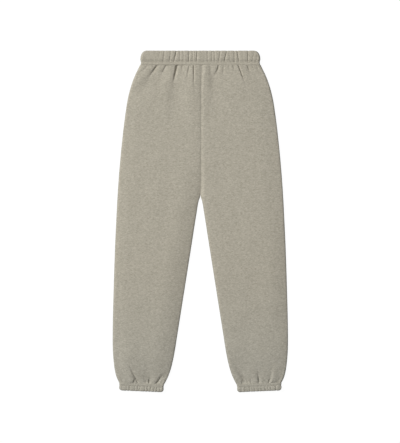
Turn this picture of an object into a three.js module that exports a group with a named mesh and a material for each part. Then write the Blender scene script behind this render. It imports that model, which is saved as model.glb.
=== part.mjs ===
// Jogger sweatpants in heavy brushed fleece, laid flat on their back, front up.
// Millimetres. +X runs to the viewer's right, which is the wearer's left, +Y runs
// from the ankles to the waist and +Z up from the surface that the garment lies on.
// The origin is on that surface, under the middle of the garment's box.
// Sizes along the garment are given as a distance down from the waistband's top.
import * as THREE from "three";

// Driving sizes
const LENGTH = 1000; // waistband's top to the lowest point of the cuffs
const CLOTH = 3; // wall of the fleece
const SEAM_GAP = 0.3; // clearance between two pieces that are sewn together
const HALF_GAP = SEAM_GAP / 2; // each half's share of it at the middle seams
const WAISTBAND_DEPTH = 42.5; // folded edge to the seam with the panels
const CUFF_DEPTH = 23.3;
const CROTCH = 425; // down to the point where the legs part
const CROTCH_BLEND = 18; // half the stretch over which the inner edge turns into a rolled one
const DOME = 60; // distance from a side edge at which the front reaches its crown height
const ROLL_TIGHTNESS = CLOTH * 1.1; // tightest outer radius of a rolled side edge
const CENTRE_DIP = 1.2; // groove in which the middle front seam lies
const CENTRE_DIP_WIDTH = 7;

// Sections of one leg. down is at the side seam, outer and inner are the distances of
// the two edges from the middle line, tilt is how much lower the inner end of the section
// lies, edge is the height of the rolled edge and crown the height of the front above it.
const LEG_SECTIONS = [
  { down: 42.8, outer: 177.0, inner: HALF_GAP, tilt: 0, edge: 10.6, crown: 11.2 },
  { down: 55, outer: 183.1, inner: HALF_GAP, tilt: 0, edge: 10.2, crown: 11.6 },
  { down: 72, outer: 191.2, inner: HALF_GAP, tilt: 0, edge: 9.8, crown: 11.3 },
  { down: 95, outer: 200.2, inner: HALF_GAP, tilt: 0, edge: 9.2, crown: 10.9 },
  { down: 135, outer: 211.3, inner: HALF_GAP, tilt: 0, edge: 8.4, crown: 10.3 },
  { down: 190, outer: 220.3, inner: HALF_GAP, tilt: 0, edge: 7.8, crown: 9.9 },
  { down: 260, outer: 228.7, inner: HALF_GAP, tilt: 0, edge: 7.6, crown: 9.9 },
  { down: 340, outer: 236.4, inner: HALF_GAP, tilt: 0, edge: 7.6, crown: 9.9 },
  { down: 412, outer: 241.8, inner: HALF_GAP, tilt: 0, edge: 7.6, crown: 9.9 },
  { down: 425, outer: 242.5, inner: 0.4, tilt: 0, edge: 7.6, crown: 9.9 },
  { down: 440, outer: 243.5, inner: 5.1, tilt: 0, edge: 7.6, crown: 9.9 },
  { down: 472, outer: 245.1, inner: 10.6, tilt: 0, edge: 7.6, crown: 9.9 },
  { down: 560, outer: 249.3, inner: 24.4, tilt: 0, edge: 7.6, crown: 9.9 },
  { down: 700, outer: 254.0, inner: 46.5, tilt: 0, edge: 7.6, crown: 9.9 },
  { down: 840, outer: 256.9, inner: 68.7, tilt: 0.5, edge: 7.6, crown: 9.9 },
  { down: 878, outer: 256.3, inner: 74.8, tilt: 1.4, edge: 7.8, crown: 10.0 },
  { down: 913, outer: 253.6, inner: 82.2, tilt: 2.6, edge: 8.3, crown: 10.3 },
  { down: 937, outer: 250.2, inner: 89.3, tilt: 3.9, edge: 8.9, crown: 10.6 },
  { down: 956, outer: 245.3, inner: 97.4, tilt: 4.9, edge: 9.4, crown: 10.6 },
  { down: 971, outer: 238.4, inner: 105.6, tilt: 5.8, edge: 9.8, crown: 10.4 },
];

// Creases that run down the front from the waistband. at is the distance from the
// middle line at the seam, to the wearer's left where it is positive, and lean how far
// the lower end lies from that.
const WAIST_CREASES = [
  { at: -158, lean: -10, length: 26, depth: 1.2, width: 4.5 },
  { at: -134, lean: -14, length: 64, depth: 2.4, width: 5 },
  { at: -104, lean: -16, length: 46, depth: 1.6, width: 5 },
  { at: -68, lean: -12, length: 84, depth: 3.2, width: 5.5 },
  { at: -37, lean: -3, length: 36, depth: 1.5, width: 4.5 },
  { at: -18, lean: 2, length: 72, depth: 2.3, width: 4.5 },
  { at: 22, lean: 2, length: 60, depth: 1.6, width: 5 },
  { at: 51, lean: -13, length: 34, depth: 2.4, width: 5 },
  { at: 75, lean: -5, length: 40, depth: 1.5, width: 5 },
  { at: 95, lean: 2, length: 24, depth: 1.2, width: 4.5 },
  { at: 113, lean: 20, length: 58, depth: 3.2, width: 5 },
  { at: 137, lean: 7, length: 30, depth: 1.8, width: 4.5 },
  { at: 158, lean: 8, length: 22, depth: 1.2, width: 4.5 },
];

// Creases that run up the front of each leg from its cuff. at is the distance from the
// side seam, and lean how much nearer the inner leg the upper end lies.
const ANKLE_CREASES = {
  right: [
    { at: 13, lean: -6, length: 20, depth: 1.5, width: 4 },
    { at: 28, lean: -4, length: 16, depth: 1.0, width: 4 },
    { at: 42, lean: -9, length: 58, depth: 3.0, width: 5 },
    { at: 57, lean: -9, length: 34, depth: 2.6, width: 4 },
    { at: 72, lean: 0, length: 16, depth: 1.1, width: 4 },
    { at: 88, lean: 2, length: 20, depth: 1.9, width: 4 },
    { at: 106, lean: 17, length: 34, depth: 2.6, width: 4.5 },
    { at: 122, lean: 6, length: 18, depth: 1.1, width: 4 },
  ],
  left: [
    { at: 14, lean: -5, length: 20, depth: 1.2, width: 4 },
    { at: 38, lean: -4, length: 28, depth: 2.2, width: 4.5 },
    { at: 52, lean: 0, length: 16, depth: 1.0, width: 4 },
    { at: 66, lean: 2, length: 44, depth: 3.0, width: 4.5 },
    { at: 87, lean: 2, length: 24, depth: 1.8, width: 4 },
    { at: 101, lean: 3, length: 24, depth: 1.8, width: 4 },
    { at: 117, lean: 10, length: 24, depth: 1.6, width: 4 },
  ],
};

// Half the width of a casing at each distance from its folded edge.
const WAISTBAND_SIDES = [
  { from: 0, half: 160 },
  { from: 2, half: 165.5 },
  { from: 5, half: 168.8 },
  { from: 10, half: 172 },
  { from: 18, half: 174.6 },
  { from: 29, half: 175.4 },
  { from: 36, half: 175 },
  { from: 42.5, half: 177 },
];
const CUFF_SIDES = [
  { from: 0, half: 58.5 },
  { from: 1.5, half: 61.6 },
  { from: 4, half: 64 },
  { from: 10, half: 65.2 },
  { from: 16, half: 65.2 },
  { from: 23.3, half: 66.4 },
];

// The two kinds of casing: fleece folded over an elastic, closed by a line of stitching
// and ending in a flange that is sewn to the panels.
const WAISTBAND = {
  sides: WAISTBAND_SIDES,
  depth: WAISTBAND_DEPTH,
  layer: 6.5, // fleece, elastic and fleece
  stitch: 36, // folded edge to the line of stitching
  flange: 4.4, // thickness between the stitching and the panels
  pinch: 1.0, // how far the stitching pulls the front in
  gatherWidth: 3.4, // distance from a trough at which it has lost two thirds of its depth
  stations: 92,
  sections: [42.5, 39.2, 36, 31, 18, 5, 1.3, 0],
};
const CUFF = {
  sides: CUFF_SIDES,
  depth: CUFF_DEPTH,
  layer: 5.4,
  stitch: 15.6,
  flange: 4.4,
  pinch: 0.8,
  gatherWidth: 2.3,
  stations: 56,
  sections: [23.3, 19.5, 15.6, 12, 4.5, 1.1, 0],
};

// Gathers of the front layer. at is the distance from the casing's middle to its trough,
// to the viewer's right on the waistband and to the viewer's left on the cuffs, which hang
// upside down. lean is how far the end at the stitching lies from the end at the fold.
const WAISTBAND_GATHERS = [
  { at: -121.5, lean: -9, depth: 0.9 },
  { at: -108, lean: -5, depth: 1.5 },
  { at: -88.4, lean: -5, depth: 1.7 },
  { at: -73.8, lean: -5, depth: 2.6 },
  { at: -63.5, lean: 0, depth: 1.5 },
  { at: -49.8, lean: 0, depth: 1.6 },
  { at: -34.3, lean: -3, depth: 2.3 },
  { at: -25.5, lean: 0, depth: 1.4 },
  { at: -17.9, lean: 0, depth: 1.0 },
  { at: -10, lean: -1.5, depth: 2.4 },
  { at: 13.8, lean: 0, depth: 0.9 },
  { at: 26.9, lean: 0, depth: 1.3 },
  { at: 39.2, lean: 2, depth: 1.8 },
  { at: 55.3, lean: -6.5, depth: 1.7 },
  { at: 72.3, lean: -8.5, depth: 2.5 },
  { at: 85.8, lean: 0, depth: 0.7 },
  { at: 99.6, lean: 1.5, depth: 2.0 },
  { at: 109.8, lean: 3.2, depth: 2.6 },
  { at: 123, lean: 0, depth: 0.6 },
  { at: 140, lean: -2, depth: 2.3 },
  { at: 152.6, lean: -4, depth: 1.0 },
  { at: 165, lean: -6, depth: 0.8 },
];
const CUFF_GATHERS = {
  right: [
    { at: 55, lean: 2, depth: 0.7 },
    { at: 42.7, lean: 0, depth: 1.3 },
    { at: 34.3, lean: 1, depth: 1.6 },
    { at: 19, lean: 0, depth: 1.1 },
    { at: 10, lean: 0, depth: 1.2 },
    { at: 4, lean: -1, depth: 0.8 },
    { at: -10.2, lean: 0, depth: 1.2 },
    { at: -18.7, lean: 1, depth: 1.7 },
    { at: -27.8, lean: 0, depth: 1.3 },
    { at: -38, lean: -1, depth: 1.2 },
    { at: -46.3, lean: 0, depth: 1.3 },
    { at: -54.8, lean: -1, depth: 0.8 },
  ],
  left: [
    { at: 51.4, lean: 0, depth: 0.9 },
    { at: 41.1, lean: 1, depth: 1.2 },
    { at: 34.4, lean: 2, depth: 1.1 },
    { at: 27.6, lean: 2, depth: 1.7 },
    { at: 12.7, lean: 4, depth: 1.3 },
    { at: 2.5, lean: 3, depth: 1.2 },
    { at: -6.6, lean: 2, depth: 1.2 },
    { at: -17.7, lean: 3, depth: 1.6 },
    { at: -25.9, lean: 2, depth: 1.1 },
    { at: -34.4, lean: 1, depth: 0.8 },
    { at: -48.8, lean: 1, depth: 1.2 },
    { at: -59.6, lean: 2, depth: 1.2 },
  ],
};
const CASING_FOLD = 5; // distance from the folded edge at which a casing has its full thickness
const CASING_SLACK = 0.3; // half the gap between its two layers where they lie on each other
const TURN_STEPS = 6; // facets of the turn at each side
const BACK_STEPS = 14; // facets across the layer that lies on the surface
const FREE_SHARE = 0.7; // share of the width that the rounded corners don't squeeze
const RING_END = 4; // place of a ring's last station, which is its first one again

// Grid of a panel: rows are spaced by the step of their zone, and columns follow its creases.
const ROLL_COLUMNS = 3;
const PANEL_ZONES = [
  { until: 92, step: 10, columns: 28 },
  { until: 150, step: 19, columns: 18 },
  { until: 400, step: 50, columns: 8 },
  { until: 460, step: 10, columns: 8 },
  { until: 890, step: 60, columns: 8 },
  { until: 925, step: 18, columns: 14 },
  { until: 971, step: 9, columns: 24 },
];
const BACK_COLUMNS = 4; // the back lies flat, so it needs few
const ROLL_SHARE = ROLL_COLUMNS / (2 * ROLL_COLUMNS + BACK_COLUMNS); // columns round one edge
const DOWN_STEP = 0.02; // steps used to find a surface's normal
const COLUMN_STEP = 0.002;

const smooth = (t) => THREE.MathUtils.smoothstep(t, 0, 1);
const bell = (t) => Math.exp(-t * t);
const { lerp } = THREE.MathUtils;
const QUARTER_TURN = Math.PI / 2;

// A function that reads a table of named columns at any place along its first column.
function tableReader(table) {
  const [key, ...columns] = Object.keys(table[0]);
  const places = new Float32Array(table.map((row) => row[key]));
  const values = new Float32Array(table.flatMap((row) => columns.map((name) => row[name])));
  const curve = new THREE.CubicInterpolant(places, values, columns.length);
  return (place) => {
    const found = curve.evaluate(place);
    return Object.fromEntries(columns.map((name, i) => [name, found[i]]));
  };
}

const sectionAt = tableReader(LEG_SECTIONS);
const PANEL_TOP = LEG_SECTIONS[0].down;
const PANEL_END = LEG_SECTIONS.at(-1).down;

// How far a crease lowers the cloth at a place across, at a distance along it.
function creaseDrop(crease, across, along) {
  if (along >= crease.length) return 0;
  const share = along / crease.length;
  const middle = crease.at + crease.lean * share;
  return crease.depth * (1 - smooth(share)) * bell((across - middle) / crease.width);
}

// How much of the inner edge is rolled: none above the crotch, where the halves meet.
const innerRoll = (down) =>
  THREE.MathUtils.smoothstep(down, CROTCH - CROTCH_BLEND, CROTCH + CROTCH_BLEND);

// Where a column lies across a section of this width, and how far round each edge it is:
// the lift is 0 on an edge's seam and 1 where the rolled edge ends.
function columnPlace(column, width, roll) {
  if (column < ROLL_SHARE) {
    const turn = (QUARTER_TURN * column) / ROLL_SHARE;
    return { across: roll * (1 - Math.cos(turn)), outerLift: Math.sin(turn), innerLift: 1 };
  }
  if (column > 1 - ROLL_SHARE) {
    const turn = (QUARTER_TURN * (1 - column)) / ROLL_SHARE;
    const across = width - roll * (1 - Math.cos(turn));
    return { across, outerLift: 1, innerLift: Math.sin(turn) };
  }
  const share = (column - ROLL_SHARE) / (1 - 2 * ROLL_SHARE);
  return { across: lerp(roll, width - roll, share), outerLift: 1, innerLift: 1 };
}

// A point on the outer face of a panel. side is -1 for the wearer's right and 1 for the
// left, column runs from 0 at the side seam to 1 at the inner one.
function panelPoint(side, isFront, column, down) {
  const row = sectionAt(down);
  const width = Math.hypot(row.outer - row.inner, row.tilt);
  const seam = row.edge / 2;
  const roll = (seam * seam) / ROLL_TIGHTNESS;
  const { across, outerLift, innerLift } = columnPlace(column, width, roll);
  const rolled = innerRoll(down);
  const lift = outerLift * (1 + (innerLift - 1) * rolled);
  const share = across / width;
  const x = lerp(row.outer, row.inner, share);
  const low = down + row.tilt * share;
  if (!isFront) {
    const height = (seam - SEAM_GAP / 2) * (1 - lift);
    return new THREE.Vector3(side * x, LENGTH / 2 - low, height);
  }
  const fromInner = width - across;
  const dome = smooth(across / DOME) * (1 + (smooth(fromInner / DOME) - 1) * rolled);
  let height = lerp(row.edge, row.crown, dome);
  height -= (1 - rolled) * CENTRE_DIP * bell(fromInner / CENTRE_DIP_WIDTH);
  for (const crease of WAIST_CREASES)
    height -= creaseDrop(crease, side * x, down - PANEL_TOP);
  for (const crease of ANKLE_CREASES[side < 0 ? "right" : "left"])
    height -= creaseDrop(crease, across, PANEL_END - down);
  const base = seam + SEAM_GAP / 2;
  return new THREE.Vector3(side * x, LENGTH / 2 - low, base + (height - base) * lift);
}

// The unit normal that points out of the cloth. At a seam it lies along the cut edge's face.
function panelNormal(side, isFront, column, down) {
  const at = (c, d) => panelPoint(side, isFront, c, d);
  const before = Math.max(column - COLUMN_STEP, 0);
  const after = Math.min(column + COLUMN_STEP, 1);
  const above = Math.max(down - DOWN_STEP, PANEL_TOP);
  const below = Math.min(down + DOWN_STEP, PANEL_END);
  const alongRow = at(after, down).sub(at(before, down));
  const downLeg = at(column, below).sub(at(column, above));
  const normal = alongRow.cross(downLeg);
  if (normal.z < 0 === isFront) normal.negate();
  if (column === 0) normal.setComponent(2, 0);
  if (column === 1) {
    const rolled = innerRoll(down);
    normal.multiply(new THREE.Vector3(rolled, rolled, 1 - rolled));
  }
  if (down === PANEL_TOP || down === PANEL_END) normal.y = 0;
  return normal.normalize();
}

// Collects the points and faces of one closed solid.
class Solid {
  constructor() {
    this.points = [];
    this.faces = [];
  }

  // Adds a row of points, each with its place along the row from 0 to 1.
  row(entries) {
    return entries.map(({ at, point }) => {
      this.points.push(point.x, point.y, point.z);
      return { at, id: this.points.length / 3 - 1 };
    });
  }

  // Fills the strip between two rows, which may have different numbers of points.
  strip(upper, lower) {
    let i = 0;
    let j = 0;
    while (i < upper.length - 1 || j < lower.length - 1) {
      const nextUpper = i < upper.length - 1 ? upper[i + 1].at : Infinity;
      const nextLower = j < lower.length - 1 ? lower[j + 1].at : Infinity;
      if (nextUpper <= nextLower) {
        this.faces.push(upper[i].id, lower[j].id, upper[i + 1].id);
        i += 1;
      } else {
        this.faces.push(upper[i].id, lower[j].id, lower[j + 1].id);
        j += 1;
      }
    }
  }

  geometry() {
    const made = new THREE.BufferGeometry();
    made.setAttribute("position", new THREE.Float32BufferAttribute(this.points, 3));
    made.setIndex(this.outward() ? this.faces : this.faces.reverse());
    made.computeVertexNormals();
    return made;
  }

  // True if the faces enclose a positive volume.
  outward() {
    const corner = (id) => new THREE.Vector3().fromArray(this.points, 3 * id);
    let volume = 0;
    for (let f = 0; f < this.faces.length; f += 3) {
      const [a, b, c] = [0, 1, 2].map((k) => corner(this.faces[f + k]));
      volume += a.dot(b.cross(c));
    }
    return volume > 0;
  }
}

// The distances down at which a panel has its rows, with the columns of each.
function panelRows(isFront) {
  const rows = [];
  let down = PANEL_TOP;
  for (const zone of PANEL_ZONES) {
    const steps = Math.max(1, Math.round((zone.until - down) / zone.step));
    const columns = isFront ? zone.columns : BACK_COLUMNS;
    for (let i = 0; i < steps; i++) rows.push({ down: lerp(down, zone.until, i / steps), columns });
    down = zone.until;
  }
  const last = PANEL_ZONES.at(-1).columns;
  rows.push({ down: PANEL_END, columns: isFront ? last : BACK_COLUMNS });
  return rows;
}

// The columns of a row: the same few round each rolled edge, and its own number between.
function panelColumns(count) {
  const places = [];
  for (let i = 0; i < ROLL_COLUMNS; i++) places.push((ROLL_SHARE * i) / ROLL_COLUMNS);
  for (let i = 0; i <= count; i++) places.push(lerp(ROLL_SHARE, 1 - ROLL_SHARE, i / count));
  for (let i = 1; i <= ROLL_COLUMNS; i++)
    places.push(1 - (ROLL_SHARE * (ROLL_COLUMNS - i)) / ROLL_COLUMNS);
  return places;
}

// One front or back half: a wall between its outer face and the same face moved in by CLOTH.
function panel(side, isFront) {
  const solid = new Solid();
  const outer = [];
  const inner = [];
  for (const { down, columns } of panelRows(isFront)) {
    const places = panelColumns(columns);
    const faces = places.map((at) => ({ at, point: panelPoint(side, isFront, at, down) }));
    const backs = faces.map(({ at, point }) => {
      const shift = panelNormal(side, isFront, at, down).multiplyScalar(-CLOTH);
      return { at, point: point.clone().add(shift) };
    });
    outer.push(solid.row(faces));
    inner.push(solid.row(backs));
  }
  const last = outer.length - 1;
  for (let r = 0; r < last; r++) {
    solid.strip(outer[r], outer[r + 1]);
    solid.strip(inner[r + 1], inner[r]);
  }
  solid.strip(inner[0], outer[0]);
  solid.strip(outer[last], inner[last]);
  const column = (rows, pick) => rows.map((row, r) => ({ at: r / last, id: row.at(pick).id }));
  solid.strip(column(outer, 0), column(inner, 0));
  solid.strip(column(inner, -1), column(outer, -1));
  return solid.geometry();
}

// How far the gathers lower a casing's front at a place across and from the folded edge.
function gatherDrop(kind, gathers, across, from) {
  const held = smooth((kind.stitch - from) / CASING_FOLD);
  const towardsStitch = from / kind.stitch - 0.5;
  let drop = 0;
  for (const { at, lean, depth } of gathers)
    drop += depth * bell((across - at - lean * towardsStitch) / kind.gatherWidth);
  return drop * held;
}

// The thickness of a casing's layer at a distance from its folded edge. front is 1 on the
// layer that shows and 0 on the one that lies flat.
function casingThickness(kind, front, from) {
  const fold = Math.sqrt(1 - (1 - Math.min(from / CASING_FOLD, 1)) ** 2);
  const full = (kind.layer / 2) * (1 + fold);
  const toFlange = smooth((from - kind.stitch + CASING_FOLD) / CASING_FOLD);
  const pinch = kind.pinch * bell((from - kind.stitch) / (CASING_FOLD / 2));
  return lerp(full, lerp(full, kind.flange, toFlange) - pinch, front);
}

// The stations round a casing: its front from left to right, a turn, its back and a turn.
function casingStations(frontSteps) {
  const stations = [];
  const add = (count, station) => {
    for (let i = 0; i < count; i++) stations.push(station(i / count));
  };
  add(frontSteps, (t) => ({ share: 2 * t - 1, angle: QUARTER_TURN }));
  add(TURN_STEPS, (t) => ({ share: 1, angle: QUARTER_TURN - Math.PI * t }));
  add(BACK_STEPS, (t) => ({ share: 1 - 2 * t, angle: -QUARTER_TURN }));
  add(TURN_STEPS, (t) => ({ share: -1, angle: -QUARTER_TURN - Math.PI * t }));
  return stations;
}

// A number that grows round a casing: 0 to 1 over the front, to 2 round the turn, to 3
// over the back and to RING_END round the last turn.
function stationPlace({ share, angle }) {
  if (angle === QUARTER_TURN) return (share + 1) / 2;
  if (share === 1 && angle > -QUARTER_TURN) return 1 + (QUARTER_TURN - angle) / Math.PI;
  if (angle === -QUARTER_TURN) return 2 + (1 - share) / 2;
  return 3 + (-QUARTER_TURN - angle) / Math.PI;
}

// A point of a casing in its own frame: x across, y up to the folded edge from the seam.
// inward is 0 on the outer face and 1 on the face that lies on the other layer.
function casingPoint(kind, gathers, sidesAt, station, from, inward) {
  const front = (1 + Math.sin(station.angle)) / 2;
  const outerThickness = casingThickness(kind, front, from);
  const fold = Math.sqrt(1 - (1 - Math.min(from / CASING_FOLD, 1)) ** 2);
  const innerThickness = (kind.layer / 2) * (1 - fold);
  const base = sidesAt(from).half - outerThickness - CASING_SLACK;
  const fullBase = kind.sides.at(-1).half - kind.layer - CASING_SLACK;
  const free = FREE_SHARE * fullBase;
  const nominal = Math.abs(station.share) * fullBase;
  const squeeze = (base - free) / (fullBase - free);
  const along = nominal <= free ? nominal : free + (nominal - free) * squeeze;
  const x = Math.sign(station.share) * along;
  let thickness = lerp(outerThickness, innerThickness, inward);
  if (Math.abs(station.share) < 1)
    thickness -= (1 - inward) * front * gatherDrop(kind, gathers, x, from);
  const reach = thickness + CASING_SLACK;
  const middle = kind.layer + CASING_SLACK;
  return new THREE.Vector3(
    x + reach * Math.cos(station.angle),
    kind.depth - from,
    middle + reach * Math.sin(station.angle),
  );
}

// A casing all round: gathered outer face, folded edge and plain inner face.
function casing(kind, gathers) {
  const solid = new Solid();
  const sidesAt = tableReader(kind.sides);
  const ring = (stations, from, inward) => {
    const entries = stations.map((station) => ({
      at: stationPlace(station),
      point: casingPoint(kind, gathers, sidesAt, station, from, inward),
    }));
    const row = solid.row(entries);
    return [...row, { at: RING_END, id: row[0].id }];
  };
  const fine = casingStations(kind.stations);
  const plain = casingStations(BACK_STEPS);
  const rings = kind.sections.map((from) => ring(fine, from, 0));
  rings.push(ring(plain, CASING_FOLD / 2, 1));
  rings.push(ring(plain, kind.depth, 1));
  rings.forEach((upper, r) => solid.strip(upper, rings[(r + 1) % rings.length]));
  return solid.geometry();
}

const FLEECE = { color: 0xa9a395, roughness: 0.95, metalness: 0 };

function piece(name, geometry) {
  const mesh = new THREE.Mesh(geometry, new THREE.MeshStandardMaterial(FLEECE));
  mesh.name = name;
  return mesh;
}

// The waistband's folded edge is the garment's top.
function waistband() {
  const mesh = piece("waistband", casing(WAISTBAND, WAISTBAND_GATHERS));
  mesh.position.y = LENGTH / 2 - WAISTBAND_DEPTH;
  return mesh;
}

// A cuff hangs from the leg's last section, with its folded edge down, square to that section.
function cuff(side, name) {
  const mesh = piece(`cuff_${name}`, casing(CUFF, CUFF_GATHERS[name]));
  const end = LEG_SECTIONS.at(-1);
  const slope = Math.atan2(end.tilt, end.outer - end.inner);
  const holder = new THREE.Group();
  mesh.position.y = SEAM_GAP;
  holder.add(mesh);
  holder.rotation.z = Math.PI + side * slope;
  holder.position.set(
    (side * (end.outer + end.inner)) / 2,
    LENGTH / 2 - end.down - end.tilt / 2,
    0,
  );
  return holder;
}

const trousers = new THREE.Group();
trousers.add(waistband());
for (const [side, name] of [
  [-1, "right"],
  [1, "left"],
]) {
  trousers.add(piece(`front_${name}`, panel(side, true)));
  trousers.add(piece(`back_${name}`, panel(side, false)));
  trousers.add(cuff(side, name));
}

export default trousers;
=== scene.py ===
"""Jogger sweatpants in heavy brushed fleece, laid flat on their back with the front up.

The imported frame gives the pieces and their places. This script dresses each sewn piece:
four leg panels, a gathered waistband, two gathered cuffs and the stitching that holds
them. Sizes are in the maker's millimetres and become metres when a mesh is written.
+X runs to the viewer's right, +Y from the ankles to the waist and +Z up.
"""
import logging
import math
from collections.abc import Callable, Iterator, Sequence
from contextlib import contextmanager
from dataclasses import dataclass, fields
from enum import Enum

import bpy
import numpy as np
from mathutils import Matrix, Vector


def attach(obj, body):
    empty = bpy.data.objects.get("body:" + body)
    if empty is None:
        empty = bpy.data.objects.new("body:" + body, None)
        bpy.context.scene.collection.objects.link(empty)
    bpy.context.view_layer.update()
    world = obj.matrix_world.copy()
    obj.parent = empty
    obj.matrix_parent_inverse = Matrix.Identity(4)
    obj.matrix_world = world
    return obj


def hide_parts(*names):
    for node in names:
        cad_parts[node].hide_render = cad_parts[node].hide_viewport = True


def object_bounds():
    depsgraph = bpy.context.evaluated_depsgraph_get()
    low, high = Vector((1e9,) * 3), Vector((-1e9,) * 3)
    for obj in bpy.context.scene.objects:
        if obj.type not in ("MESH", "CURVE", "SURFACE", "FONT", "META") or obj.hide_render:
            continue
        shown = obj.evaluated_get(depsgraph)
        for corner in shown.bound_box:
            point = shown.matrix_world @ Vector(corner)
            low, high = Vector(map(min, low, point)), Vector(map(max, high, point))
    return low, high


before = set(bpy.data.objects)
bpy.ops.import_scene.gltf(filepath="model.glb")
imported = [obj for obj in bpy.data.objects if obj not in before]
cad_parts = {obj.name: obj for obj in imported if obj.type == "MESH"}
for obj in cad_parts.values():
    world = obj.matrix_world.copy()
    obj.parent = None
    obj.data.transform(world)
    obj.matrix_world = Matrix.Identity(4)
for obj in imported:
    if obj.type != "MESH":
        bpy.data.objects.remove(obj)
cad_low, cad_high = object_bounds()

LOG = logging.getLogger("sweatpants")
MM = 0.001
BODY = "root"
QUARTER_TURN = math.pi / 2
CLOTH_ATTRIBUTE = "cloth"  # metres across and along the cloth, which the finishes read

# The garment, in millimetres, with distances down from the waistband's folded edge
LENGTH = 1000.0
CLOTH = 3.0  # wall of the fleece
SEAM_GAP = 0.12  # clearance between two pieces at a seam
WAISTBAND_DEPTH = 41.6
CUFF_DEPTH = 23.3
CROTCH = 425.0
CROTCH_BLEND = 18.0  # half the stretch over which the inner edge turns into a rolled one
ROLL_TIGHTNESS = CLOTH * 1.1  # tightest outer radius of a rolled side edge
CASING_SLACK = 0.3  # half the gap between a casing's two layers
PATCH_STEP = 40.0  # distance between the places in the heather that pieces are cut from
WELD = 0.001 * MM  # points that lie nearer than this become one

Array = np.ndarray


def smooth(share: Array) -> Array:
    """Rise from 0 to 1 with level ends, held outside that range."""
    held = np.clip(share, 0.0, 1.0)
    return held * held * (3.0 - 2.0 * held)


def rise(place: Array, start: float, end: float) -> Array:
    """Rise from 0 at one place to 1 at another, with level ends."""
    return smooth((place - start) / (end - start))


def bell(offset: Array) -> Array:
    """A bump of height 1 that has lost two thirds of its height at an offset of 1."""
    return np.exp(-offset * offset)


def crown(share: Array) -> Array:
    """Rise from 0 to 1 that starts steep and ends level, as a soft edge does."""
    held = np.clip(share, 0.0, 1.0)
    return held * (2.0 - held)


def lerp(low: Array, high: Array, share: Array) -> Array:
    """The value at this share of the way from low to high."""
    return low + (high - low) * share


class Side(Enum):
    """The wearer's side that a piece is on, with the sign of its X."""

    RIGHT = -1
    LEFT = 1


class Layer(Enum):
    """The layer of the laid garment that a panel is, with the way that its outer face looks."""

    FRONT = 1
    BACK = -1


class Profile:
    """A table of named columns that is read smoothly at any place along its first one."""

    def __init__(self, rows: Sequence[object]) -> None:
        """Reads the table.

        Args:
            rows: Dataclass records with the same fields, in order of the first one.
        """
        names = [f.name for f in fields(rows[0])]
        table = np.array([[getattr(row, name) for name in names] for row in rows], float)
        self.names = names[1:]
        self.places = table[:, 0]
        self.values = table[:, 1:]

    def read(self, place: Array) -> dict[str, Array]:
        """Reads every column.

        Args:
            place: Places along the first column.

        Returns:
            The other columns at those places, by name, on a natural cubic through the rows.
        """
        t, v = self.places, self.values
        last = len(t) - 1
        place = np.clip(np.asarray(place, float), t[0], t[-1])
        k = np.clip(np.searchsorted(t, place, side="right") - 1, 0, last - 1)
        before = np.where(k > 0, k - 1, k + 1)
        after = np.where(k < last - 1, k + 2, k)
        half = (t[k + 1] - t[k]) / 2
        pull_before = (half / (t[k] - t[before]))[..., None]
        pull_after = (half / (t[after] - t[k + 1]))[..., None]
        p = ((place - t[k]) / (t[k + 1] - t[k]))[..., None]
        pp, ppp = p * p, p * p * p
        mixed = (
            v[before] * pull_before * (2 * pp - ppp - p)
            + v[k] * ((1 + pull_before) * ppp - (1.5 + 2 * pull_before) * pp + (pull_before - 0.5) * p + 1)
            + v[k + 1] * ((1.5 + pull_after) * pp - (1 + pull_after) * ppp + 0.5 * p)
            + v[after] * pull_after * (ppp - pp)
        )
        return {name: mixed[..., i] for i, name in enumerate(self.names)}


@dataclass(frozen=True)
class LegSection:
    """A section across one leg: edge is the height of its folded side, crown that of its front."""

    down: float
    outer: float
    inner: float
    tilt: float
    edge: float
    crown: float


@dataclass(frozen=True)
class CasingSide:
    """Half the width of a casing at a distance from its folded edge."""

    away: float
    half: float


HALF_GAP = 0.15
LEG = Profile([
    LegSection(41.7, 176.7, HALF_GAP, 0, 10.6, 11.4),
    LegSection(55, 183.1, HALF_GAP, 0, 10.2, 11.6),
    LegSection(72, 191.2, HALF_GAP, 0, 9.8, 11.3),
    LegSection(95, 200.2, HALF_GAP, 0, 9.2, 10.9),
    LegSection(135, 211.3, HALF_GAP, 0, 8.4, 10.3),
    LegSection(190, 220.3, HALF_GAP, 0, 7.8, 9.9),
    LegSection(260, 228.7, HALF_GAP, 0, 7.6, 9.9),
    LegSection(340, 236.4, HALF_GAP, 0, 7.6, 9.9),
    LegSection(412, 241.8, HALF_GAP, 0, 7.6, 9.9),
    LegSection(425, 242.5, 0.4, 0, 7.6, 9.9),
    LegSection(440, 243.5, 5.1, 0, 7.6, 9.9),
    LegSection(472, 245.1, 10.6, 0, 7.6, 9.9),
    LegSection(560, 249.3, 24.4, 0, 7.6, 9.9),
    LegSection(700, 254.0, 46.5, 0, 7.6, 9.9),
    LegSection(840, 256.9, 68.7, 0.5, 7.6, 9.9),
    LegSection(878, 256.3, 74.8, 1.4, 7.8, 10.0),
    LegSection(913, 253.6, 82.2, 2.6, 8.3, 10.3),
    LegSection(937, 250.2, 89.3, 3.9, 8.9, 10.6),
    LegSection(956, 245.3, 97.4, 4.9, 9.4, 10.6),
    LegSection(971, 238.4, 105.6, 5.8, 9.8, 10.4),
])
PANEL_TOP = float(LEG.places[0])
PANEL_END = float(LEG.places[-1])

WAISTBAND_SIDES = Profile([
    CasingSide(0, 160),
    CasingSide(2, 165.5),
    CasingSide(5, 168.8),
    CasingSide(10, 172),
    CasingSide(18, 174.6),
    CasingSide(29, 175.4),
    CasingSide(36, 175),
    CasingSide(41.6, 176.7),
])
CUFF_SIDES = Profile([
    CasingSide(0, 58.5),
    CasingSide(1.5, 61.6),
    CasingSide(4, 64),
    CasingSide(10, 65.2),
    CasingSide(16, 65.2),
    CasingSide(23.3, 66.4),
])


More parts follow.
